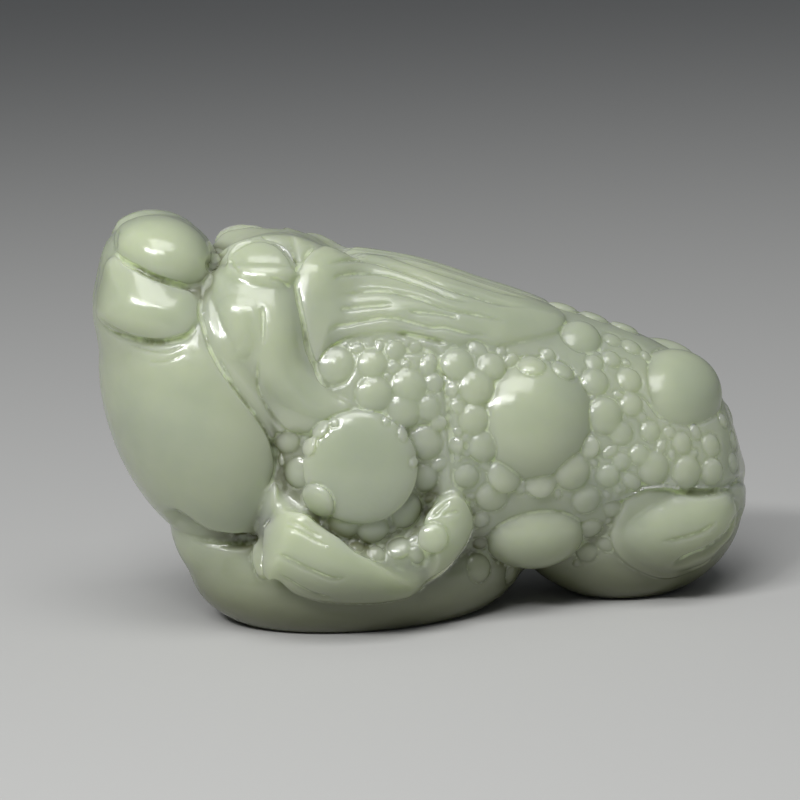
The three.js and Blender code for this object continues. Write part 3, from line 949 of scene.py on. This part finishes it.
def blurred(values, steps, turns=2):
    # a box blur of 2 * steps + 1 voxels each way
    for _ in range(turns):
        for axis in range(3):
            padded = np.pad(values, [(steps + 1, steps) if a == axis else (0, 0) for a in range(3)], mode="edge")
            total = np.cumsum(padded, axis=axis, dtype=np.float64)
            size = values.shape[axis]
            upper = np.take(total, np.arange(2 * steps + 1, 2 * steps + 1 + size), axis=axis)
            lower = np.take(total, np.arange(size), axis=axis)
            values = ((upper - lower) / (2 * steps + 1)).astype(np.float32)
    return values


places = np.empty(len(thinned.vertices) * 3, np.float32)
thinned.vertices.foreach_get("co", places)
places = places.reshape(-1, 3) / mm + toWorld
# the hollow and broadest blurs are masks for painted shade in the jade's colour; crease marks where tool chips lie
hollows = {"crease": 0.35, "hollow": 1.1, "deep": 2.6}  # reach of each in mm
for name, reach in hollows.items():
    values = -sample(blurred(body, max(1, round(reach / voxel))), places)
    thinned.attributes.new(name, "FLOAT", "POINT").data.foreach_set("value", values.astype(np.float32))
    print(name, "from", values.min().round(2), "to", values.max().round(2))


# Jade
jadeLook = {
    "celadon": (0.41, 0.45, 0.325),
    "cloud": (0.36, 0.40, 0.30),
    # painted shade: a dark green-brown laid into hollows and creases
    "paintedShadeOlive": (0.17, 0.19, 0.06),
    # painted shade: a darker tone for the underside, where less light reaches
    "low": (0.13, 0.14, 0.08),
    # painted shade: the darkest tone, for recesses under overhangs
    "deep": (0.07, 0.075, 0.02),
    "chip": (0.72, 0.78, 0.62),
}


def shaderTree(material):
    material.use_nodes = True
    nodes, link = material.node_tree.nodes, material.node_tree.links.new

    def node(kind, *inputs, **settings):
        made = nodes.new(kind)
        for key, value in settings.items():
            setattr(made, key, value)
        for index, value in enumerate(inputs):
            if isinstance(value, bpy.types.NodeSocket):
                link(value, made.inputs[index])
            elif value is not None:
                made.inputs[index].default_value = value
        return made

    def ramp(value, low, high, start=0.0, end=1.0):
        made = node("ShaderNodeMapRange", value, low, high, start, end, interpolation_type="SMOOTHSTEP")
        return made.outputs[0]

    def blend(share, first, second, kind="MIX"):
        made = node("ShaderNodeMix", data_type="RGBA", blend_type=kind)
        for socket, value in ((made.inputs[0], share), (made.inputs[6], first), (made.inputs[7], second)):
            if isinstance(value, bpy.types.NodeSocket):
                link(value, socket)
            else:
                socket.default_value = value if isinstance(value, float) else (*value, 1)
        return made.outputs[2]

    def noise(scale, detail=3.0, rough=0.5, seed=0.0):
        made = node("ShaderNodeTexNoise", noise_dimensions="4D")
        link(coordinates, made.inputs["Vector"])
        made.inputs["W"].default_value = seed
        made.inputs["Scale"].default_value = scale
        made.inputs["Detail"].default_value = detail
        made.inputs["Roughness"].default_value = rough
        return made.outputs[0]

    def math(kind, *values):
        return node("ShaderNodeMath", *values, operation=kind).outputs[0]

    def attribute(name):
        return node("ShaderNodeAttribute", attribute_name=name).outputs["Fac"]

    coordinates = node("ShaderNodeTexCoord").outputs["Object"]
    height = node("ShaderNodeSeparateXYZ", coordinates).outputs[2]
    shader = nodes["Principled BSDF"]
    shader.inputs["IOR"].default_value = 1.61
    shader.inputs["Subsurface Weight"].default_value = 1.0
    shader.inputs["Subsurface Radius"].default_value = (0.9, 1.0, 0.6)
    shader.inputs["Subsurface Scale"].default_value = 0.006
    look = jadeLook
    color = blend(ramp(noise(140, seed=2), 0.35, 0.65), look["celadon"], look["cloud"])
    # painted shade: the colour darkens towards the bottom of the stone, below about 8 mm
    paintedLowShade = ramp(height, 0.0085, 0.001)
    color = blend(paintedLowShade, color, look["low"])
    # painted shade: darker in hollows and creases, from the mid-sized blur of the skin
    color = blend(math("MULTIPLY", ramp(attribute("hollow"), 0.08, 0.6), 0.8), color, look["paintedShadeOlive"])
    # painted shade: darkest under overhangs and in recesses, from the broad blur of the skin
    color = blend(math("MULTIPLY", ramp(attribute("deep"), 0.15, 0.75), 0.9), color, look["deep"])
    # tool chips stay pale and dull along the creases
    chips = math("MULTIPLY", ramp(noise(700, 2.0, 0.6, seed=4), 0.35, 0.6), ramp(attribute("crease"), 0.03, 0.14))
    color = blend(math("MULTIPLY", chips, 0.55), color, look["chip"])
    link(color, shader.inputs["Base Color"])
    rough = ramp(noise(900, 4.0, seed=5), 0.3, 0.7, 0.12, 0.24)
    link(math("MULTIPLY_ADD", chips, 0.3, rough), shader.inputs["Roughness"])
    bump = nodes.new("ShaderNodeBump")
    bump.inputs["Strength"].default_value = 0.5
    bump.inputs["Distance"].default_value = 0.0001
    relief = math("MULTIPLY_ADD", chips, math("MULTIPLY", noise(3500, 2.0, seed=9), 1.6), math("MULTIPLY", noise(1100, 4.0, seed=8), 0.35))
    link(relief, bump.inputs["Height"])
    link(bump.outputs[0], shader.inputs["Normal"])


shaderTree(jade)
thinned.materials.clear()
thinned.materials.append(jade)

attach(toad, "root")
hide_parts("toad")
